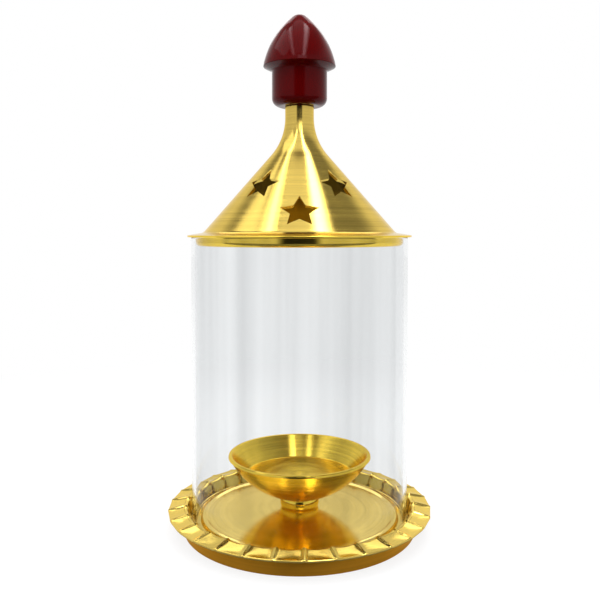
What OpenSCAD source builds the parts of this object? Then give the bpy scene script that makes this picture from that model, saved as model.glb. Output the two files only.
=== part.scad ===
// Akhand diya: an oil lamp that burns behind a glass chimney.
// A fluted brass tray sits on a plain brass ring. A brass bowl is bolted to the tray,
// a glass tube stands round it, and a vented brass lid with a wooden knob closes the tube.
// The origin is the middle of the foot, +Z is up and the front of the lamp faces -Y.

/* [Glass chimney] */
// Outer diameter of the glass tube
glass_d = 90; // [70:0.5:120]
// Wall of the glass tube
glass_wall = 1.5; // [1.2:0.1:3]
// Length of the glass tube
glass_length = 116.9; // [80:0.1:160]
// Radius of the melted edges at both ends of the tube
glass_edge_r = 0.5; // [0.2:0.05:0.55]

/* [Base ring] */
// Wall of the plain ring under the tray
ring_wall = 1.1; // [0.8:0.1:2]
// Height of the ledge that carries the tray, above the table
ledge_height = 3.2; // [2.6:0.1:8]
// Thickness of the ledge
ledge_t = 1; // [0.8:0.1:2]

/* [Tray] */
// Thickness of the tray's sheet
tray_t = 1.2; // [0.8:0.1:1.4]
// Gap between the glass and the wall of the tray
glass_gap = 1; // [0.6:0.1:2]
// Depth of the tray's wall, from the edge of the rim to the trough that the glass stands in
tray_depth = 6.3; // [5:0.1:9]
// Width of the trough, from the wall to the floor
trough_w = 6; // [4.5:0.1:9]
// Height of the edge of the floor above the trough
floor_step = 1.7; // [1.5:0.1:3]
// Rise of the floor from its edge to its middle
floor_crown = 1.7; // [0.3:0.1:2]
// Radius of the bead round the edge of the floor
floor_bead_r = 1; // [0.5:0.1:1.4]
// Width of the flat land round the bowl's foot
foot_land = 1; // [0.5:0.1:4]
// Width of the rim
rim_w = 9; // [6:0.1:14]
// Fall of the rim from its inner to its outer edge
rim_fall = 1.55; // [0.5:0.05:3]
// Thickness of the rim
rim_t = 1.1; // [0.9:0.05:1.6]

/* [Flutes] */
// Number of flutes in the rim
flutes = 30; // [20:1:40]
// Depth of a flute at the outer edge
flute_depth = 0.75; // [0.3:0.05:0.8]
// Depth of the scallop that a flute leaves in the outer edge
scallop_depth = 0.5; // [0.2:0.05:1]
// Angle from the front of the lamp to the nearest ridge
ridge_turn = 2; // [0:0.5:6]
// Angle that the flat top of a ridge takes up
ridge_land = 0.4; // [0.2:0.1:1.5]

/* [Bowl] */
// Radius of the bowl at its lip
bowl_r = 30; // [24:0.1:36]
// Height of the bowl from its foot to its lip
bowl_h = 17.7; // [14:0.1:24]
// Radius of the seat under the bowl
bowl_seat_r = 7.2; // [6:0.1:8]
// Width of the bowl's lip
lip_w = 1.6; // [1:0.1:3]
// Depth of the well in the bowl
well_depth = 8.6; // [4:0.1:9.5]
// Thickness of the wall at the bottom of the well
well_wall = 1.4; // [1:0.1:4]
// Height of the foot under the bowl
foot_h = 4.6; // [3:0.1:9]
// Radius of the foot at its middle
foot_r = 8.2; // [7.5:0.1:12]
// Radius of the round that bulges the side of the foot
foot_round_r = 5; // [4.6:0.1:9]

/* [Bowl fixing] */
// Radius of the stud that holds the bowl
stud_r = 2.5; // [2:0.1:3]
// Metal left between the end of the stud's hole and the well
stud_cover = 3; // [2:0.1:4]
// Length of stud that stands out of the nut
stud_end = 0.8; // [0.2:0.1:1.2]
// Radius of the washer under the tray
washer_r = 7; // [5:0.1:8]
// Thickness of the washer
washer_t = 0.8; // [0.5:0.1:1.2]
// Distance across the flats of the nut
nut_flats = 8; // [7:0.1:10]
// Height of the nut
nut_h = 3.2; // [2.4:0.1:3.6]

/* [Lid] */
// Thickness of the lid's sheet
lid_t = 0.9; // [0.6:0.1:1.4]
// How far the lid's flange reaches past the glass
lid_overhang = 1.6; // [0.5:0.1:5]
// Thickness of the flange at its outer edge
flange_edge_t = 0.8; // [0.4:0.1:1.2]
// Thickness of the flange where the cone meets it
flange_t = 1.6; // [1.2:0.1:3]
// Distance from the bore of the glass to the foot of the cone
cone_inset = 3.2; // [2.6:0.1:6]
// Angle between the cone and the lamp's axis
cone_angle = 41.2; // [34:0.1:48]
// Radius of the curve from the cone into its flange
flange_curve_r = 3; // [1:0.1:4]
// Outer radius of the neck
neck_r = 6; // [5.2:0.1:9]
// Length of the neck above the point where the cone would meet it
neck_length = 13.5; // [12:0.1:25]
// Radius of the curve from the cone into the neck
neck_curve_r = 24; // [10:0.5:26]

/* [Lid collar] */
// Gap between the lid's collar and the glass
collar_gap = 0.4; // [0.3:0.05:0.6]
// Thickness of the collar's sheet
collar_t = 0.8; // [0.5:0.1:0.9]
// How far the collar reaches down into the glass
collar_drop = 3.5; // [2.5:0.1:8]
// Radius of the inward curl at the collar's lower edge
collar_curl_r = 1.6; // [1.2:0.1:2.2]

/* [Stars] */
// Radius of a star from its middle to its points
star_r = 7.9; // [5:0.1:8.4]
// Radius of a star's inner corners
star_inner_r = 3.8; // [2:0.1:4.5]
// Height of the low star's middle above the glass
low_star_z = 10; // [9:0.1:14]
// Height of the high stars' middles above the glass
high_star_z = 20.9; // [18:0.1:24]
// Angle from the low star, at the front, to each high star
star_spread = 39; // [34:0.5:50]

/* [Knob] */
// Radius of the knob's round body
knob_r = 11.5; // [8:0.1:16]
// Height of the knob's body
knob_h = 14.8; // [9:0.1:22]
// Radius of the body's lower edge
knob_edge_r = 3.4; // [1:0.1:4]
// How far the brim of the cap stands out past the body
brim_reach = 3.65; // [1.5:0.05:6]
// Rise of the cap's underside from the body to the brim
brim_rise = 1.9; // [0.5:0.1:3]
// Radius of the cap's curved side
cap_curve_r = 36.4; // [28:0.1:60]
// Height of the centre of that curve below the brim
cap_centre_drop = 7.3; // [3:0.1:12]
// Radius of the cap's rounded tip
cap_tip_r = 5; // [2:0.1:7]

/* [Knob fixing] */
// Radius of the screw's shank
screw_r = 1.6; // [1.2:0.1:2.2]
// Length of the screw in the knob
screw_grip = 16; // [10:0.5:22]
// Radius of the screw's head
screw_head_r = 3.1; // [2.5:0.1:3.4]
// Height of the screw's head
screw_head_h = 2.2; // [1.5:0.1:3]
// Gap round the washer under the head, inside the neck
screw_washer_gap = 0.8; // [0.4:0.1:1.2]
// Thickness of that washer
screw_washer_t = 0.7; // [0.4:0.1:1.2]

/* [Clearances] */
// Radial clearance of a thread in its hole
thread_gap = 0.05; // [0.02:0.01:0.1]
// Clearance between the tip of the screw or stud and the end of its hole
tip_gap = 0.5; // [0.2:0.1:1]
// Radial clearance of a bolt in a plain hole
bolt_gap = 0.25; // [0.1:0.05:0.5]
// Gap that solder fills between nested sheets
solder_gap = 0.1; // [0.05:0.01:0.3]

/* [Hidden] */

// Facets of a full turn, and the angle between the points of a curved outline
$fn = 120;
arc_step = 5;
// Length by which a cutting shape runs past what it cuts
past = 1;

brass = "goldenrod";
brass_side = "darkgoldenrod";
steel = "silver";

// Radii of the nested walls, from the glass outwards
glass_or = glass_d / 2;
glass_ir = glass_or - glass_wall;
wall_ir = glass_or + glass_gap;
wall_or = wall_ir + tray_t;
ring_ir = wall_or + solder_gap;
ring_or = ring_ir + ring_wall;
rim_or = wall_ir + rim_w;
floor_r = wall_ir - trough_w;
step_r = floor_r + floor_bead_r;

// Heights in the base
trough_z = ledge_height + tray_t;
floor_edge_z = trough_z + floor_step;
floor_z = floor_edge_z + floor_crown;
rim_z = trough_z + tray_depth;
bowl_z = floor_z + foot_h;
lip_z = bowl_z + bowl_h;
well_z = lip_z - well_depth;
washer_z = floor_z - tray_t - washer_t;
nut_z = washer_z - nut_h;
bolt_hole_r = stud_r + bolt_gap;
stud_hole_h = bowl_h - well_depth - stud_cover;

// Height of the rim's underside at a radius
function rim_under(r) = rim_z - rim_fall * (r - wall_ir) / rim_w - rim_t;

// A flute is a round groove that gets deeper outwards, so that it gets wider there as well and
// the same narrow ridge is left all along. The depth at an edge follows from the width there.
rim_edge_z = rim_z - rim_fall;
flute_half_angle = (360 / flutes - ridge_land) / 2;
flute_half_w = rim_or * sin(flute_half_angle);
flute_r = (flute_half_w * flute_half_w + flute_depth * flute_depth) / (2 * flute_depth);
flute_inner_depth = flute_r - sqrt(flute_r * flute_r - pow(wall_ir * sin(flute_half_angle), 2));
flute_lean = atan2(rim_fall + flute_depth - flute_inner_depth, rim_w);

// A scallop is an upright round that leaves a cusp at each ridge.
scallop_chord = 2 * rim_or * sin(flute_half_angle);
scallop_r = scallop_chord * scallop_chord / (8 * scallop_depth) + scallop_depth / 2;
scallop_centre = rim_or * cos(flute_half_angle) - scallop_depth + scallop_r;

// The round of the bowl's outside passes through its seat and its lip.
bowl_centre_z = lip_z + (bowl_r * bowl_r - bowl_seat_r * bowl_seat_r - bowl_h * bowl_h) / (2 * bowl_h);
bowl_round_r = norm([bowl_r, bowl_centre_z - lip_z]);
well_floor_r = sqrt(bowl_round_r * bowl_round_r - pow(bowl_centre_z - well_z, 2)) - well_wall;

// Heights in the lid
seat_z = trough_z + glass_length;
cone_z = seat_z + flange_t;
cone_foot_r = glass_ir - cone_inset;
flange_or = glass_or + lid_overhang;
cone_top_z = cone_z + (cone_foot_r - neck_r) / tan(cone_angle);
neck_top_z = cone_top_z + neck_length;
neck_ir = neck_r - lid_t;
neck_plate_z = neck_top_z - lid_t;
screw_hole_r = screw_r + bolt_gap;

// Heights in the knob
brim_z = neck_top_z + knob_h + brim_rise;
brim_r = knob_r + brim_reach;
cap_centre_z = brim_z - cap_centre_drop;
cap_centre_r = brim_r - sqrt(cap_curve_r * cap_curve_r - cap_centre_drop * cap_centre_drop);
cap_angle = asin(cap_centre_drop / cap_curve_r);
tip_z = cap_centre_z + sqrt(pow(cap_curve_r - cap_tip_r, 2) - cap_centre_r * cap_centre_r);
tip_angle = atan2(tip_z - cap_centre_z, -cap_centre_r);

// Points of a round stretch of an outline, from one angle to another, both included
function arc(centre, r, from, to) =
    let (steps = max(2, ceil(abs(to - from) / arc_step)))
    [for (i = [0 : steps]) let (a = from + (to - from) * i / steps) centre + r * [cos(a), sin(a)]];

// A flat ring that starts at height z
module flat_ring(z, outer_r, inner_r, h) {
    translate([0, 0, z])
        difference() {
            cylinder(r = outer_r, h = h);
            translate([0, 0, -past])
                cylinder(r = inner_r, h = h + 2 * past);
        }
}

// Plain spun ring: a wall that stands on the table and a ledge that the tray is soldered to
module base_ring() {
    ring_h = rim_under(ring_or) - solder_gap;
    color(brass_side)
        rotate_extrude()
            polygon([
                [ring_ir, 0],
                [ring_or, 0],
                [ring_or, ring_h],
                [ring_ir, ring_h],
                [ring_ir, ledge_height],
                [step_r, ledge_height],
                [step_r, ledge_height - ledge_t],
                [ring_ir, ledge_height - ledge_t]
            ]);
}

// Half section of the tray before its rim is fluted
module tray_section() {
    land_r = foot_r + foot_land;
    polygon(concat(
        [[bolt_hole_r, floor_z], [land_r, floor_z]],
        arc([floor_r, floor_edge_z - floor_bead_r], floor_bead_r, 90, 0),
        [[step_r, trough_z], [wall_ir, trough_z]],
        [[wall_ir, rim_z], [rim_or, rim_edge_z]],
        [[rim_or, rim_under(rim_or)], [wall_or, rim_under(wall_or)], [wall_or, ledge_height]],
        [[step_r - tray_t, ledge_height], [step_r - tray_t, floor_edge_z - tray_t]],
        [[land_r, floor_z - tray_t], [bolt_hole_r, floor_z - tray_t]]
    ));
}

// The groove of one flute, a lying bar with a round underside
module flute() {
    bar_h = flute_depth + past / 2;
    translate([wall_ir, 0, rim_z - flute_inner_depth])
        rotate([0, 90 + flute_lean, 0])
            translate([0, 0, -past])
                linear_extrude(height = rim_w / cos(flute_lean) + 2 * past)
                    intersection() {
                        translate([-flute_r, 0])
                            circle(r = flute_r);
                        translate([-bar_h, -flute_half_w])
                            square([bar_h, 2 * flute_half_w]);
                    }
}

// The scallop that one flute leaves in the rim's outer edge, a standing bar with a round side
module scallop() {
    translate([0, 0, rim_under(rim_or) - past])
        linear_extrude(height = rim_t + 2 * past)
            intersection() {
                translate([scallop_centre, 0])
                    circle(r = scallop_r);
                translate([rim_or - rim_w / 2, -flute_half_w])
                    square([rim_w / 2 + past, 2 * flute_half_w]);
            }
}

// Pressed dish: a domed floor, a trough for the glass and a fluted rim that overhangs the ring
module fluted_tray() {
    pitch = 360 / flutes;
    color(brass)
        difference() {
            rotate_extrude()
                tray_section();
            for (i = [0 : flutes - 1])
                rotate([0, 0, ridge_turn - 90 + (i + 0.5) * pitch]) {
                    flute();
                    scallop();
                }
        }
}

// Turned spool between the bowl and the tray
module bowl_foot() {
    color(brass)
        translate([0, 0, floor_z])
            rotate_extrude()
                intersection() {
                    translate([bolt_hole_r, 0])
                        square([foot_r - bolt_hole_r, foot_h]);
                    translate([foot_r - foot_round_r, foot_h / 2])
                        circle(r = foot_round_r);
                }
}

// Cast bowl with a conical well and a blind hole for the stud
module diya_bowl() {
    color(brass)
        difference() {
            rotate_extrude()
                intersection() {
                    translate([0, bowl_centre_z])
                        circle(r = bowl_round_r);
                    translate([0, bowl_z])
                        square([bowl_r, bowl_h]);
                }
            translate([0, 0, well_z])
                cylinder(r1 = well_floor_r, r2 = bowl_r - lip_w, h = well_depth);
            translate([0, 0, bowl_z - past])
                cylinder(r = stud_r + thread_gap, h = stud_hole_h + past);
        }
}

// Threaded stud from the bowl down through the foot, the tray, the washer and the nut
module bowl_stud() {
    stud_z = nut_z - stud_end;
    color(steel)
        translate([0, 0, stud_z])
            cylinder(r = stud_r, h = bowl_z + stud_hole_h - tip_gap - stud_z);
}

module stud_washer() {
    color(steel)
        flat_ring(washer_z, washer_r, bolt_hole_r, washer_t);
}

module stud_nut() {
    color(steel)
        translate([0, 0, nut_z])
            difference() {
                cylinder(d = nut_flats / cos(30), h = nut_h, $fn = 6);
                translate([0, 0, -past])
                    cylinder(r = stud_r + thread_gap, h = nut_h + 2 * past);
            }
}

// Borosilicate tube with melted edges
module glass_chimney() {
    inner = glass_ir + glass_edge_r;
    outer = glass_or - glass_edge_r;
    low = trough_z + glass_edge_r;
    high = seat_z - glass_edge_r;
    color("azure", 0.35)
        rotate_extrude()
            polygon(concat(
                arc([inner, low], glass_edge_r, 180, 270),
                arc([outer, low], glass_edge_r, 270, 360),
                arc([outer, high], glass_edge_r, 0, 90),
                arc([inner, high], glass_edge_r, 90, 180)
            ));
}

// Round stretch from the neck to the cone, at a depth inside the sheet's outer face
function neck_curve(depth) =
    let (centre = [neck_r + neck_curve_r, cone_top_z + neck_curve_r * tan(cone_angle / 2)])
    arc(centre, neck_curve_r + depth, 180, 180 + cone_angle);

// Round stretch from the cone to the flange, at a depth inside the sheet's outer face
function flange_curve(depth) =
    let (centre = [cone_foot_r + flange_curve_r * tan(45 - cone_angle / 2), cone_z + flange_curve_r])
    arc(centre, flange_curve_r + depth, 180 + cone_angle, 270);

// The same points in the opposite order
function backwards(points) = [for (i = [len(points) - 1 : -1 : 0]) points[i]];

// Half section of the spun lid
module lid_section() {
    polygon(concat(
        [[screw_hole_r, neck_top_z], [neck_r, neck_top_z]],
        neck_curve(0),
        flange_curve(0),
        [[flange_or, seat_z + flange_edge_t], [flange_or, seat_z]],
        backwards(flange_curve(flange_t)),
        backwards(neck_curve(lid_t)),
        [[neck_ir, neck_plate_z], [screw_hole_r, neck_plate_z]]
    ));
}

// A five-pointed star that cuts square through the cone, one point towards the neck
module star_cut(turn, height) {
    r = cone_foot_r - (height - flange_t) * tan(cone_angle);
    rotate([0, 0, turn - 90])
        translate([r, 0, seat_z + height])
            rotate([0, 90 - cone_angle, 0])
                linear_extrude(height = 4 * flange_t, center = true)
                    polygon([
                        for (i = [0 : 9])
                            (i % 2 == 0 ? star_r : star_inner_r) * [-cos(36 * i), sin(36 * i)]
                    ]);
}

// Spun lid: a neck for the knob, a cone with three vents at the front and a flange on the glass
module lid_cone() {
    color(brass)
        difference() {
            rotate_extrude()
                lid_section();
            star_cut(0, low_star_z);
            star_cut(-star_spread, high_star_z);
            star_cut(star_spread, high_star_z);
        }
}

// Ring soldered under the flange, which keeps the lid in the mouth of the glass
module lid_collar() {
    collar_or = glass_ir - collar_gap;
    curl = [collar_or - collar_curl_r, seat_z - collar_drop + collar_curl_r];
    color(brass)
        rotate_extrude()
            polygon(concat(
                [[collar_or - collar_t, seat_z]],
                arc(curl, collar_curl_r - collar_t, 0, -90),
                arc(curl, collar_curl_r, -90, 0),
                [[collar_or, seat_z]]
            ));
}

// Turned wooden knob: a round body under a pointed cap with a brim
module knob() {
    color("maroon")
        difference() {
            rotate_extrude()
                polygon(concat(
                    [[0, neck_top_z]],
                    arc([knob_r - knob_edge_r, neck_top_z + knob_edge_r], knob_edge_r, -90, 0),
                    [[knob_r, brim_z - brim_rise]],
                    arc([cap_centre_r, cap_centre_z], cap_curve_r, cap_angle, tip_angle),
                    arc([0, tip_z], cap_tip_r, tip_angle, 90)
                ));
            translate([0, 0, neck_top_z - past])
                cylinder(r = screw_r + thread_gap, h = screw_grip + tip_gap + past);
        }
}

// Wood screw from inside the neck up into the knob
module knob_screw() {
    head_z = neck_plate_z - screw_washer_t - screw_head_h;
    color(steel)
        translate([0, 0, head_z]) {
            cylinder(r = screw_head_r, h = screw_head_h);
            cylinder(r = screw_r, h = neck_top_z + screw_grip - head_z);
        }
}

module knob_washer() {
    color(steel)
        flat_ring(neck_plate_z - screw_washer_t, neck_ir - screw_washer_gap, screw_hole_r, screw_washer_t);
}

base_ring();
fluted_tray();
bowl_foot();
diya_bowl();
bowl_stud();
stud_washer();
stud_nut();
glass_chimney();
lid_cone();
lid_collar();
knob();
knob_screw();
knob_washer();
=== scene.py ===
import math
from math import cos, pi, radians, sin, tan

import bmesh
import bpy
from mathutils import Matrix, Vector


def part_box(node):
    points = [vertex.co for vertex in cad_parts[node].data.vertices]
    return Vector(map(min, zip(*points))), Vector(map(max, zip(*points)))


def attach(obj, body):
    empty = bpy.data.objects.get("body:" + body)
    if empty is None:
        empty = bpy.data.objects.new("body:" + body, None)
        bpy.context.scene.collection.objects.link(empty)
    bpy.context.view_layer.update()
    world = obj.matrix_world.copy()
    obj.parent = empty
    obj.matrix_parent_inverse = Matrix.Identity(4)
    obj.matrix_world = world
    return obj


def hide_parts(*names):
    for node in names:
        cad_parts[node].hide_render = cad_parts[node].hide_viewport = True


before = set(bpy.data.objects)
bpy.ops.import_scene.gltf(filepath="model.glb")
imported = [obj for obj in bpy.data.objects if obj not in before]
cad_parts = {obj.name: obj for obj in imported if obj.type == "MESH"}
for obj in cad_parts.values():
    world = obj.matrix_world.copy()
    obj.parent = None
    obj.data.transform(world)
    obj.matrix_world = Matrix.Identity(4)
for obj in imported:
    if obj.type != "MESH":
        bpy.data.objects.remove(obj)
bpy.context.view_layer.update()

# Base ring: a strip of brass sheet, rolled and soldered into a plain ring that the lamp stands on.
# A ledge inside it carries the tray. The outside was turned smooth and has dulled to a brown gold.
MM = 0.001


def span(node):
    """Outer radius, foot and top of a turned piece, in millimetres."""
    low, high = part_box(node)
    return high.x / MM, low.z / MM, high.z / MM


def rounded(corners, steps=6):
    """An outline in millimetres, from corners that each give a radius, a height and a rounding."""
    points = []
    for i, (r, z, rounding) in enumerate(corners):
        corner = Vector((r, z))
        if not rounding:
            points.append(corner)
            continue
        back = (Vector(corners[i - 1][:2]) - corner).normalized()
        ahead = (Vector(corners[(i + 1) % len(corners)][:2]) - corner).normalized()
        half = back.angle(ahead) / 2
        centre = corner + (back + ahead).normalized() * rounding / sin(half)
        start = corner + back * rounding / tan(half) - centre
        end = corner + ahead * rounding / tan(half) - centre
        points += [centre + rounding * start.slerp(end, k / steps) for k in range(steps + 1)]
    return points


def skin(name, sections):
    """A closed mesh over sections of equal length that follow each other round the lamp's axis."""
    count = len(sections[0])
    mesh = bpy.data.meshes.new(name)
    faces = []
    for i in range(len(sections)):
        here, there = i * count, (i + 1) % len(sections) * count
        for k in range(count):
            after = (k + 1) % count
            faces.append((here + k, there + k, there + after, here + after))
    points = [Vector(p) * MM for section in sections for p in section]
    mesh.from_pydata(points, [], faces)
    shape = bmesh.new()
    shape.from_mesh(mesh)
    bmesh.ops.remove_doubles(shape, verts=shape.verts, dist=1e-3 * MM)
    bmesh.ops.recalc_face_normals(shape, faces=shape.faces)
    shape.to_mesh(mesh)
    shape.free()
    piece = bpy.data.objects.new(name, mesh)
    bpy.context.scene.collection.objects.link(piece)
    return piece


def shaded(piece, sharp=38):
    """Smooth shading that keeps edges above an angle and lets the wide faces stay flat."""
    piece.data.shade_smooth()
    piece.data.set_sharp_from_angle(angle=radians(sharp))
    normals = piece.modifiers.new("even normals", "WEIGHTED_NORMAL")
    normals.keep_sharp = True
    return piece


def turned(name, outline, steps=240):
    """A piece that was turned or spun: its outline swept round the lamp's axis."""
    turns = [2 * pi * i / steps for i in range(steps)]
    return shaded(skin(name, [[(r * cos(a), r * sin(a), z) for r, z in outline] for a in turns]))


class Tone:
    """One output of a shader node. Arithmetic on tones adds Math nodes to their tree."""

    def __init__(self, tree, socket=None):
        self.tree = tree
        self.socket = socket

    def node(self, kind, settings=None, inputs=None, output=0):
        made = self.tree.nodes.new(kind)
        for name, value in (settings or {}).items():
            if name == "stops":
                for stop, (place, level) in zip(made.color_ramp.elements, value):
                    stop.position = place
                    stop.color = (level, level, level, 1)
            else:
                setattr(made, name, value)
        for key, value in (inputs or {}).items():
            self.feed(made.inputs[key], value)
        return Tone(self.tree, made.outputs[output])

    def feed(self, target, value):
        if isinstance(value, Tone):
            self.tree.links.new(value.socket, target)
        else:
            target.default_value = value

    def math(self, operation, left, right):
        return self.node("ShaderNodeMath", {"operation": operation}, {0: left, 1: right})

    def mix(self, low, high):
        """A colour between two others, with this tone as the share of the second."""
        return self.node("ShaderNodeMix", {"data_type": "RGBA"}, {0: self, 6: low, 7: high}, 2)

    def __add__(self, other):
        return self.math("ADD", self, other)

    def __sub__(self, other):
        return self.math("SUBTRACT", self, other)

    def __rsub__(self, other):
        return self.math("SUBTRACT", other, self)

    def __mul__(self, other):
        return self.math("MULTIPLY", self, other)

    def __pow__(self, other):
        return self.math("POWER", self, other)

    __radd__ = __add__
    __rmul__ = __mul__


def finish(name, fixed, varying):
    """A material: fixed values go straight to the shader, varying ones come from nodes."""
    material = bpy.data.materials.new(name)
    material.use_nodes = True
    start = Tone(material.node_tree)
    shader = material.node_tree.nodes["Principled BSDF"]
    for key, value in {**fixed, **varying(start)}.items():
        start.feed(shader.inputs[key], value)
    return material


def shade(colour, level):
    """A colour made darker or lighter, with its alpha."""
    return (*(c * level for c in colour[:3]), 1)


def brass(name, colour, roughness, streak, dents=0.0, brushed=1.0, painted_shade=None):
    """Brass with faint tarnish, and with fine turning lines that stretch highlights across themselves.

    Metal that was pressed and polished by hand has soft dents as well, and painted shade can
    darken the metal between two heights.
    """

    def varying(start):
        place = start.node("ShaderNodeTexCoord", output="Object")
        x, y, z = (start.node("ShaderNodeSeparateXYZ", inputs={0: place}, output=k) for k in "XYZ")
        radius = (x * x + y * y) ** 0.5
        along = start.node("ShaderNodeCombineXYZ", inputs={0: radius, 1: (x + y) * 0.008, 2: z})
        lines = start.node("ShaderNodeTexNoise", inputs={"Vector": along, "Scale": 1500, "Detail": 3})
        bands = start.node("ShaderNodeTexNoise", inputs={"Vector": along, "Scale": 420, "Detail": 1})
        tarnish = start.node("ShaderNodeTexNoise", inputs={"Vector": place, "Scale": 55, "Detail": 4})
        dent = start.node("ShaderNodeTexNoise", inputs={"Vector": place, "Scale": 170, "Detail": 1})
        grain = ((lines * 0.6 + bands * 0.4) - 0.5) * streak * brushed * 1.8 + 0.5
        face = grain * (0.006 * MM) + dent * (dents * MM)
        metal = (grain * 0.8 + tarnish * 0.7 - 0.25).mix(shade(colour, 0.72), shade(colour, 1.1))
        if painted_shade:
            low, high = painted_shade
            heights = {"Value": z, "From Min": low * MM, "From Max": high * MM}
            metal = start.node("ShaderNodeMapRange", inputs=heights).mix(metal, shade(colour, 0.15))
        return {
            "Base Color": metal,
            "Roughness": (grain - 0.5) * 0.1 + (tarnish - 0.5) * 0.1 + roughness,
            "Normal": start.node(
                "ShaderNodeBump", inputs={"Strength": 1.0, "Distance": 1.0, "Height": face}
            ),
        }

    return finish(name, {
        "Metallic": 1.0, "Specular Tint": (0.95, 0.85, 0.6, 1),
        "Anisotropic": streak, "Anisotropic Rotation": 0.25,
    }, varying)


def place(piece, body, slot, material, *nodes):
    """Gives a piece its material and its body, and hides the solids that it stands for. The slot is not
    used.
    """
    piece.data.materials.clear()
    piece.data.materials.append(material)
    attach(piece, body)
    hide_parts(*nodes)


ring_r, ring_foot, ring_top = span("base_ring")
ring_wall = 1.1
ledge_z, ledge_t, ledge_r = 3.2, 1.0, 41.0
ring_brass = brass("dull turned brass", (0.69, 0.32, 0.025, 1), 0.45, 0.85)
base_ring = turned("ring", rounded([
    (ring_r - ring_wall, ring_foot, 0.3),
    (ring_r, ring_foot, 0.45),
    (ring_r, ring_top, 0.2),
    (ring_r - ring_wall, ring_top, 0.2),
    (ring_r - ring_wall, ledge_z, 0.15),
    (ledge_r, ledge_z, 0.3),
    (ledge_r, ledge_z - ledge_t, 0.3),
    (ring_r - ring_wall, ledge_z - ledge_t, 0.4),
]))
place(base_ring, "base", "brass_ring", ring_brass, "base_ring")

# Fluted tray: a dish pressed from brass sheet, with a domed floor inside a bead, a trough for the
# glass, and a rim whose wide scoops meet in narrow ridges. It was polished and is soldered in place.
rim_r, tray_foot, rim_crest = span("fluted_tray")
tray_t, rim_t = 1.2, 1.05
wall_r = 46.0
trough_wall_r = wall_r - 0.7
trough_z = tray_foot + tray_t
floor_r, floor_edge_z, floor_z = 40.0, 6.1, 7.8
land_r, bolt_hole_r = 9.2, 2.75
rim_edge_z = 8.9
rim_swell, rim_roll = 0.1, 1.3
flutes, ridge_turn, flute_columns = 30, 2.0, 24
scoop_depth, ridge_height, ridge_w = 0.85, 0.45, 0.065
edge_scallop, wall_scoop = 0.35, 0.5

rim_face = []
for k in range(4, 17):
    out = k / 17
    swell = rim_swell * out - (rim_crest - rim_edge_z + rim_swell) * out ** rim_roll
    rim_face.append((wall_r + (rim_r - wall_r) * out, rim_crest + swell, 0))
tray_outline = rounded([
    (trough_wall_r, trough_z, 0.6),
    (wall_r + 0.5, rim_crest, 1.8),
    *rim_face,
    (rim_r, rim_edge_z, 0.6),
    (rim_r, rim_edge_z - rim_t, 0.35),
    (wall_r + tray_t, rim_crest - 1.4, 0.3),
    (wall_r + tray_t, tray_foot, 1.2),
    (floor_r - 0.2, tray_foot, 0.4),
    (floor_r - 0.2, floor_edge_z - tray_t, 0.4),
    (land_r, floor_z - tray_t, 0),
    (bolt_hole_r, floor_z - tray_t, 0.2),
    (bolt_hole_r, floor_z, 0.2),
    (land_r, floor_z, 6),
    (floor_r - 1.6, floor_edge_z - 0.25, 0.5),
    (floor_r - 0.5, floor_edge_z + 0.35, 0.7),
    (floor_r + 0.9, floor_edge_z + 0.1, 0.6),
    (floor_r + 1.2, trough_z, 0.5),
])


def fluted(r, z, across):
    """A point of the tray's outline, sunk where it lies in a flute, at a place from ridge to ridge."""
    hollow = 1 - (2 * across) ** 2
    off_ridge = (0.5 - abs(across)) / ridge_w
    step = ridge_height * (1 - math.exp(-off_ridge * off_ridge))
    up = min(1, max(0, (z - trough_z) / (rim_crest - trough_z)))
    out = min(1, max(0, (r - wall_r) / (rim_r - wall_r)))
    inside = min(1, max(0, 5 * (r - wall_r) + 1))
    dish = scoop_depth * hollow * (0.35 + 1.3 * out * (1 - out) - 0.3 * out ** 4)
    sink = (dish + step * (1 - 0.5 * out ** 4)) * inside * min(1, max(0, 5 * up - 2))
    push = wall_scoop * (step + scoop_depth * hollow) * inside * up ** 0.5 * max(0, 1 - 9 * out)
    return r + push - edge_scallop * hollow * out ** 4, z - sink


tray_sections = []
for i in range(flutes * flute_columns):
    flute, column = divmod(i, flute_columns)
    across = -0.5 * cos(pi * column / flute_columns)
    a = radians(ridge_turn - 90 + 360 * (flute + 0.5 + across) / flutes)
    section = [fluted(r, z, across) for r, z in tray_outline]
    tray_sections.append([(r * cos(a), r * sin(a), z) for r, z in section])
tray = shaded(skin("tray", tray_sections), 30)
PALE_BRASS = (0.88, 0.64, 0.15, 1)
floor_brass = brass("satin tray floor", (0.95, 0.72, 0.235, 1), 0.17, 0.75)
place(tray, "base", "brass_tray", floor_brass, "fluted_tray")
tray.data.materials.append(brass("polished pressed rim", PALE_BRASS, 0.16, 0.0, dents=0.14))
# Faces that look down, under the rim and under the floor, get a dark brown brass: painted shade under the
# tray.
underside_shade_brass = brass("painted shade under tray", (0.3, 0.16, 0.01, 1), 0.42, 0.6)
tray.data.materials.append(underside_shade_brass)
for face in tray.data.polygons:
    outside = math.hypot(face.center.x, face.center.y) > trough_wall_r * MM
    face.material_index = 2 if face.normal.z < -0.3 else 1 if outside else 0

# Bowl foot: a short spool turned from brass bar and polished, which lifts the bowl off the tray.
# The bowl's stud passes through it.
BRASS = (0.97, 0.69, 0.095, 1)
foot_r, foot_low, foot_top = span("bowl_foot")


def arc(centre, r, start, end, steps=16):
    """Points of a round stretch of an outline between two angles in degrees."""
    angles = [radians(start + (end - start) * k / steps) for k in range(steps + 1)]
    return [Vector(centre) + r * Vector((cos(a), sin(a))) for a in angles]


foot_middle = (foot_low + foot_top) / 2
foot_round = 5.0
foot_swing = math.degrees(math.asin((foot_top - foot_low) / 2 / foot_round))
foot_brass = brass("polished turned brass", BRASS, 0.09, 0.3)
foot = turned("foot", [
    Vector((bolt_hole_r, foot_low)),
    *arc((foot_r - foot_round, foot_middle), foot_round, -foot_swing, foot_swing),
    Vector((bolt_hole_r, foot_top)),
], steps=128)
place(foot, "base", "brass_foot", foot_brass, "bowl_foot")

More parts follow.
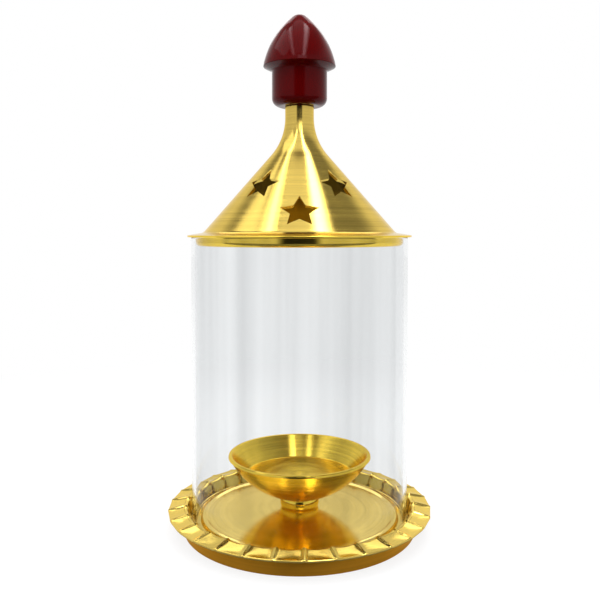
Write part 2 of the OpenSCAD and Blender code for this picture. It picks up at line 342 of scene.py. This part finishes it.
# Bowl: the diya itself, cast in brass and turned inside and out to a satin face. Its flat floor and
# sloping sides hold the oil, and its lip was rounded over and polished by handling.
lip_r, bowl_foot_z, lip_z = span("diya_bowl")
seat_r, lip_w, lip_h, lip_step = 7.2, 1.6, 1.0, 0.15
well_z, well_r = 21.5, 22.4
bowl_h = lip_z - bowl_foot_z
bowl_centre = lip_z + (lip_r ** 2 - seat_r ** 2 - bowl_h ** 2) / (2 * bowl_h)
bowl_round = math.hypot(lip_r, bowl_centre - lip_z)
bowl_low = math.degrees(math.atan2(bowl_foot_z - bowl_centre, seat_r))
bowl_high = math.degrees(math.atan2(lip_z - lip_h - bowl_centre, lip_r - lip_step))
bowl_brass = brass("satin turned brass", BRASS, 0.22, 0.9, brushed=1.8)
bowl = turned("bowl", [
    Vector((0, bowl_foot_z)),
    *arc((0, bowl_centre), bowl_round, bowl_low, bowl_high, 40),
    *rounded([
        (lip_r - lip_step, lip_z - lip_h, 0),
        (lip_r, lip_z - lip_h + 0.1, 0.05),
        (lip_r - 0.2, lip_z - 0.2, 0.15),
        (lip_r - 0.5, lip_z, 0.2),
        (lip_r - lip_w, lip_z, 0.4),
        (well_r, well_z, 0.8),
        (0, well_z, 0),
    ])[1:],
])
place(bowl, "base", "brass_bowl", bowl_brass, "diya_bowl")
bowl.data.materials.append(foot_brass)
for face in bowl.data.polygons:
    face.material_index = 1 if face.center.z > (lip_z - lip_h) * MM else 0

# Bowl fixing: a steel stud in the bowl, with a washer and a hexagon nut under the tray.
# They are ordinary zinc-plated hardware.
steel = finish(
    "zinc plated steel",
    {"Metallic": 1.0, "Anisotropic": 0.3},
    lambda start: {
        "Base Color": start.node("ShaderNodeTexNoise", inputs={"Scale": 300, "Detail": 3}).mix(
            (0.42, 0.42, 0.40, 1), (0.66, 0.66, 0.64, 1)
        ),
        "Roughness": start.node("ShaderNodeTexNoise", inputs={"Scale": 900, "Detail": 2}) * 0.2 + 0.22,
    },
)
for node in ("bowl_stud", "stud_washer", "stud_nut", "knob_screw", "knob_washer"):
    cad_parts[node].data.materials.clear()
    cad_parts[node].data.materials.append(steel)

# Glass chimney: a length of clear glass tube with melted ends, which stands loose in the trough.
# It keeps draughts off the flame and lifts off for cleaning. Its index is below that of real glass,
# so that reflections don't veil the brass.
glass_r, glass_low, glass_high = span("glass_chimney")
glass_wall = 1.5


def drawn_lines_and_painted_bands(start):
    """Faint lines along the tube, left from drawing it, and broad bands of lighter and darker tint that are
    painted reflections.
    """
    at = start.node("ShaderNodeTexCoord", output="Object")
    x, y, z = (start.node("ShaderNodeSeparateXYZ", inputs={0: at}, output=k) for k in "XYZ")
    along = start.node("ShaderNodeCombineXYZ", inputs={0: x, 1: y, 2: z * 0.02})
    lines_and_reflection_bands = start.node("ShaderNodeTexNoise", inputs={"Vector": along, "Scale": 90, "Detail": 2})
    return {"Base Color": (lines_and_reflection_bands * 2.6 - 0.8).mix((0.79, 0.8, 0.805, 1), (0.96, 0.97, 0.975, 1))}


glass = finish("clear glass", {"Transmission Weight": 1.0, "IOR": 1.13, "Roughness": 0.0}, drawn_lines_and_painted_bands)
chimney = turned("chimney", rounded([
    (glass_r - glass_wall, glass_low, 0.5),
    (glass_r, glass_low, 0.5),
    (glass_r, glass_high, 0.5),
    (glass_r - glass_wall, glass_high, 0.5),
]), steps=360)
place(chimney, "chimney", "clear_glass", glass, "glass_chimney")

# Lid: a cone spun from brass sheet, with a neck for the knob and a flange that rests on the glass.
# Three stars were cut through its front to let out the hot air, and it has a brushed satin face.
flange_r, seat_z, neck_top = span("lid_cone")
neck_r, lid_t, screw_hole_r = 6.0, 0.9, 1.85
cone_angle = 41.2
cone_foot_r, flange_t, flange_edge_t = 40.3, 1.6, 0.8
neck_curve, flange_curve = 24.0, 3.0
cone_z = seat_z + flange_t
cone_top_z = cone_z + (cone_foot_r - neck_r) / tan(radians(cone_angle))
neck_bend = (neck_r + neck_curve, cone_top_z + neck_curve * tan(radians(cone_angle / 2)))
flange_bend = (cone_foot_r + flange_curve * tan(radians(45 - cone_angle / 2)), cone_z + flange_curve)
lid_brass = brass("satin spun brass", (0.75, 0.54, 0.12, 1), 0.16, 0.85, brushed=1.5)
lid = turned("lid", [
    *rounded([
        (screw_hole_r, neck_top - lid_t, 0),
        (screw_hole_r, neck_top, 0),
        (neck_r, neck_top, 0.3),
        (neck_r, neck_bend[1], 0),
    ]),
    *arc(neck_bend, neck_curve, 180, 180 + cone_angle, 24),
    *arc(flange_bend, flange_curve, 180 + cone_angle, 270, 12),
    *rounded([
        (flange_bend[0] + 0.5, cone_z, 0),
        (flange_r, seat_z + flange_edge_t, 0.3),
        (flange_r, seat_z, 0.3),
        (flange_bend[0], seat_z, 0),
    ])[1:-1],
    *arc(flange_bend, flange_curve + flange_t, 270, 180 + cone_angle, 12),
    *arc(neck_bend, neck_curve + lid_t, 180 + cone_angle, 180, 24),
    Vector((neck_r - lid_t, neck_top - lid_t)),
])
star_r, star_inner_r, star_bevel = 7.9, 3.8, 0.1
punch_depth, punch_reach, punch_flare = 4.0, 3.0, 1.9
low_star, high_star, star_spread = 10.0, 20.9, 39.0


def star_punch(turn, height):
    """A five-pointed punch, square to the cone and flared where it breaks the edge of the sheet."""
    tilt = radians(cone_angle)
    a = radians(turn - 90)
    middle_r = cone_foot_r - (height - flange_t) * tan(tilt)
    middle = Vector((middle_r * cos(a), middle_r * sin(a), seat_z + height))
    up = Vector((-sin(tilt) * cos(a), -sin(tilt) * sin(a), cos(tilt)))
    side = Vector((-sin(a), cos(a), 0))
    out = side.cross(up)
    punch = bmesh.new()
    ends = []
    for reach, flare in ((-punch_depth, 1.0), (-star_bevel, 1.0), (punch_reach, punch_flare)):
        ring = []
        for k in range(10):
            r = flare * (star_inner_r if k % 2 else star_r)
            point = middle + up * r * cos(pi * k / 5) + side * r * sin(pi * k / 5) + out * reach
            ring.append(punch.verts.new(point * MM))
        ends.append(ring)
    punch.faces.new(ends[0])
    punch.faces.new(ends[2])
    for low, high in ((ends[0], ends[1]), (ends[1], ends[2])):
        for k in range(10):
            punch.faces.new((low[k - 1], low[k], high[k], high[k - 1]))
    bmesh.ops.recalc_face_normals(punch, faces=punch.faces)
    mesh = bpy.data.meshes.new("punch")
    punch.to_mesh(mesh)
    punch.free()
    tool = bpy.data.objects.new("punch", mesh)
    bpy.context.scene.collection.objects.link(tool)
    return tool


def cut(piece, tools):
    """Cuts tools out of a piece for good, and takes the tools away."""
    piece.modifiers.clear()
    for tool in tools:
        hole = piece.modifiers.new("hole", "BOOLEAN")
        hole.object = tool
        hole.operation = "DIFFERENCE"
        hole.solver = "EXACT"
    view = bpy.context.evaluated_depsgraph_get()
    piece.data = bpy.data.meshes.new_from_object(piece.evaluated_get(view))
    piece.modifiers.clear()
    for tool in tools:
        bpy.data.objects.remove(tool)


cut(lid, [
    star_punch(0, low_star),
    star_punch(-star_spread, high_star),
    star_punch(star_spread, high_star),
])
shaded(lid, 30)
place(lid, "lid", "brass_lid", lid_brass, "lid_cone")
# The inside of the lid gets a dark brown brass with painted shade, which deepens between two heights
# towards the neck, where little light reaches inside the cone.
lid_shade_heights = (seat_z + 11, seat_z + 20)
lid_inside_shade_brass = brass("lid inside painted shade", (0.4, 0.215, 0.012, 1), 0.42, 0.6, painted_shade=lid_shade_heights)
polished_edge = 1.2
lid.data.materials.append(lid_inside_shade_brass)
lid.data.materials.append(foot_brass)
for face in lid.data.polygons:
    outwards = Vector((face.center.x, face.center.y, 0))
    if outwards.length > (flange_r - polished_edge) * MM:
        face.material_index = 2
    elif face.normal.dot(outwards.normalized() + Vector((0, 0, tan(radians(cone_angle))))) < -0.3:
        face.material_index = 1

# Lid collar: a ring of brass sheet soldered under the flange. It drops into the mouth of the glass
# and keeps the lid in the middle, and its lower edge is curled inwards.
collar_r, collar_low, collar_top = span("lid_collar")
collar_t, curl = 0.8, 1.6
collar_brass = brass("satin rolled brass", BRASS, 0.13, 0.6)
curl_middle = (collar_r - curl, collar_low + curl)
collar = turned("collar", [
    Vector((collar_r - collar_t, collar_top)),
    *arc(curl_middle, curl - collar_t, 0, -90, 8),
    *arc(curl_middle, curl, -90, 0, 12),
    Vector((collar_r, collar_top)),
])
place(collar, "lid", "brass_collar", collar_brass, "lid_collar")

# Knob: turned from wood in one piece, a round body under a pointed cap with a brim, and dipped in
# dark red lacquer. A screw from inside the neck holds it.
brim_r, knob_low, knob_top = span("knob")
knob_r, knob_h, knob_edge = 11.5, 14.8, 3.4
brim_rise, cap_curve, cap_drop, cap_tip = 1.9, 36.4, 7.3, 5.0
brim_z = knob_low + knob_h + brim_rise
cap_centre = (brim_r - math.sqrt(cap_curve ** 2 - cap_drop ** 2), brim_z - cap_drop)
tip_z = cap_centre[1] + math.sqrt((cap_curve - cap_tip) ** 2 - cap_centre[0] ** 2)
cap_start = math.degrees(math.asin(cap_drop / cap_curve)) + 2
cap_end = math.degrees(math.atan2(tip_z - cap_centre[1], -cap_centre[0]))
LACQUER = (0.088, 0.0007, 0.0009, 1)


def lacquer_varying(start):
    """Clouded colour, a faint orange peel and small scuffs."""
    at = start.node("ShaderNodeTexCoord", output="Object")
    cloud = start.node("ShaderNodeTexNoise", inputs={"Vector": at, "Scale": 120, "Detail": 3})
    peel = start.node("ShaderNodeTexNoise", inputs={"Vector": at, "Scale": 900, "Detail": 2})
    scuffs = start.node("ShaderNodeTexNoise", inputs={"Vector": at, "Scale": 2600, "Detail": 1})
    scuff = start.node("ShaderNodeValToRGB", {"stops": ((0.66, 0), (0.8, 1))}, {0: scuffs})
    return {
        "Base Color": (cloud * 0.8 + scuff * 0.5).mix(shade(LACQUER, 0.8), shade(LACQUER, 1.5)),
        "Roughness": cloud * 0.06 + scuff * 0.15 + 0.07,
        "Normal": start.node(
            "ShaderNodeBump", inputs={"Strength": 0.5, "Distance": 0.03 * MM, "Height": peel + cloud}
        ),
    }


lacquer = finish(
    "dark red lacquer",
    {"Specular IOR Level": 0.13, "Specular Tint": (1, 0.6, 0.65, 1)},
    lacquer_varying,
)
knob = turned("knob_body", [
    Vector((0, knob_low)),
    *arc((knob_r - knob_edge, knob_low + knob_edge), knob_edge, -90, 0, 12),
    *rounded([
        (knob_r, knob_low + knob_edge, 0),
        (knob_r, brim_z - brim_rise, 0.8),
        (brim_r - 0.05, brim_z - 0.2, 0.3),
        (cap_centre[0] + cap_curve * cos(radians(cap_start)),
         cap_centre[1] + cap_curve * sin(radians(cap_start)), 0),
    ])[1:-1],
    *arc(cap_centre, cap_curve, cap_start, cap_end, 32),
    *arc((0, tip_z), cap_tip, cap_end, 90, 12)[1:],
], steps=160)
place(knob, "lid", "lacquered_wood", lacquer, "knob")

# Studio: a pale floor that fades into a white backdrop, strips and tubes overhead to the left and
# right, soft boxes above, at the left, low in front and behind, a dim ceiling, a dark room behind
# the camera, and the camera level with the lid's flange.
floor_mesh = bpy.data.meshes.new("floor")
reach, front = 3.0, -0.45
floor_mesh.from_pydata([(-reach, front, 0), (reach, front, 0), (reach, reach, 0), (-reach, reach, 0)],
                       [], [(0, 1, 2, 3)])
floor = bpy.data.objects.new("floor", floor_mesh)
bpy.context.scene.collection.objects.link(floor)
floor_white = bpy.data.materials.new("white floor")
floor_white.use_nodes = True
start = Tone(floor_white.node_tree)
shader = floor_white.node_tree.nodes["Principled BSDF"]
shader.inputs["Base Color"].default_value = (0.2, 0.2, 0.2, 1)
shader.inputs["Roughness"].default_value = 0.9
shader.inputs["Specular IOR Level"].default_value = 0.0


def in_view(start):
    """Whether a ray comes straight from the camera or through clear glass."""
    camera_ray = start.node("ShaderNodeLightPath", output="Is Camera Ray")
    transmitted = start.node("ShaderNodeLightPath", output="Is Transmission Ray")
    mirrored = start.node("ShaderNodeLightPath", output="Glossy Depth")
    return camera_ray + transmitted * start.math("LESS_THAN", mirrored, 0.5)


def ramp(start, value, low, high):
    """A soft step from nothing at one value to all at another."""
    return start.node("ShaderNodeMapRange", {"interpolation_type": "SMOOTHSTEP"},
                      {"Value": value, "From Min": low, "From Max": high})


spot = start.node("ShaderNodeTexCoord", output="Object")
across, back = (start.node("ShaderNodeSeparateXYZ", inputs={0: spot}, output=k) for k in "XY")
shiny = sum(start.node("ShaderNodeLightPath", output=k) for k in ("Is Glossy Ray", "Is Transmission Ray"))
lit = in_view(start) + shiny * ramp(start, back, -0.08, 0.02)
start.feed(shader.inputs["Emission Color"], start.math("MINIMUM", lit, 1.0) * 0.84)
shader.inputs["Emission Strength"].default_value = 1.0
away = ramp(start, (across * across + back * back) ** 0.5, 0.15, 0.4)
plain_white = start.node("ShaderNodeEmission", inputs={"Color": (1, 1, 1, 1), "Strength": 1.0})
shadowed = Tone(floor_white.node_tree, shader.outputs["BSDF"])
seen = start.node("ShaderNodeMixShader", inputs={0: in_view(start) * away, 1: shadowed, 2: plain_white})
start.feed(floor_white.node_tree.nodes["Material Output"].inputs["Surface"], seen)
floor_mesh.materials.append(floor_white)

world = bpy.data.worlds.new("studio")
bpy.context.scene.world = world
world.use_nodes = True
sky = Tone(world.node_tree)
way = sky.node("ShaderNodeTexCoord", output="Generated")
side, depth, height = (sky.node("ShaderNodeSeparateXYZ", inputs={0: way}, output=k) for k in "XYZ")
backdrop = ramp(sky, depth, 0.4, 0.7) * ramp(sky, height, 0.75, 0.5)
dark_room = ramp(sky, depth, -0.3, -0.6) * ramp(sky, height, 0.42, 0.25) * ramp(sky, side * side, 0.2, 0.06)
dim_ceiling = ramp(sky, height, 0.5, 0.75)
background = world.node_tree.nodes["Background"]
background.inputs["Color"].default_value = (1, 1, 1, 1)
studio = 0.85 + backdrop * 0.15 - dark_room * 0.83 - dim_ceiling * 0.55
sky.feed(background.inputs["Strength"], studio + in_view(sky) * (1 - studio))


def soft_box(name, middle, turn, width, length, radiance):
    """An area lamp, turned by angles in degrees from facing straight down."""
    light = bpy.data.lights.new(name, "AREA")
    light.shape = "RECTANGLE"
    light.size = width
    light.size_y = length
    light.energy = radiance * pi * width * length
    box = bpy.data.objects.new(name, light)
    box.location = middle
    box.rotation_euler = [radians(t) for t in turn]
    bpy.context.scene.collection.objects.link(box)


soft_box("left strip", (-0.29, -0.4, 0.86), (0, -21, 0), 0.16, 1.0, 2.2)
soft_box("left tube", (-0.28, -0.4, 0.85), (0, -21, 0), 0.05, 1.0, 3.5)
soft_box("right strip", (0.21, -0.4, 0.86), (0, 16, 0), 0.17, 1.0, 3.0)
soft_box("right tube", (0.2, -0.4, 0.85), (0, 16, 0), 0.1, 1.0, 5.5)
soft_box("top soft box", (-0.03, -0.3, 0.9), (0, 0, 0), 0.34, 0.9, 0.9)
soft_box("left soft box", (-0.56, -0.1, 0.84), (0, -36, 0), 0.32, 0.8, 1.5)
soft_box("low front soft box", (0.23, -1.5, 1.07), (58, 0, 8), 0.8, 0.46, 2.2)
soft_box("back soft box", (0, 0.6, 0.78), (-42, 0, 0), 0.7, 0.6, 1.9)

focal_px, frame_px, sensor_mm = 733.9, 600.0, 36.0
lens = bpy.data.cameras.new("camera")
lens.sensor_width = sensor_mm
lens.lens = sensor_mm * focal_px / frame_px
lens.shift_y = -0.08
camera = bpy.data.objects.new("camera", lens)
camera.location = (0.0002, -0.3077, 0.12415)
camera.rotation_euler = (radians(90 - 1.696), 0, 0)
bpy.context.scene.collection.objects.link(camera)
bpy.context.scene.camera = camera
bpy.context.scene.view_settings.view_transform = "Standard"
# Light passes more than four times between the bowl and the tray before it reaches the camera.
bpy.context.scene.cycles.glossy_bounces = 12
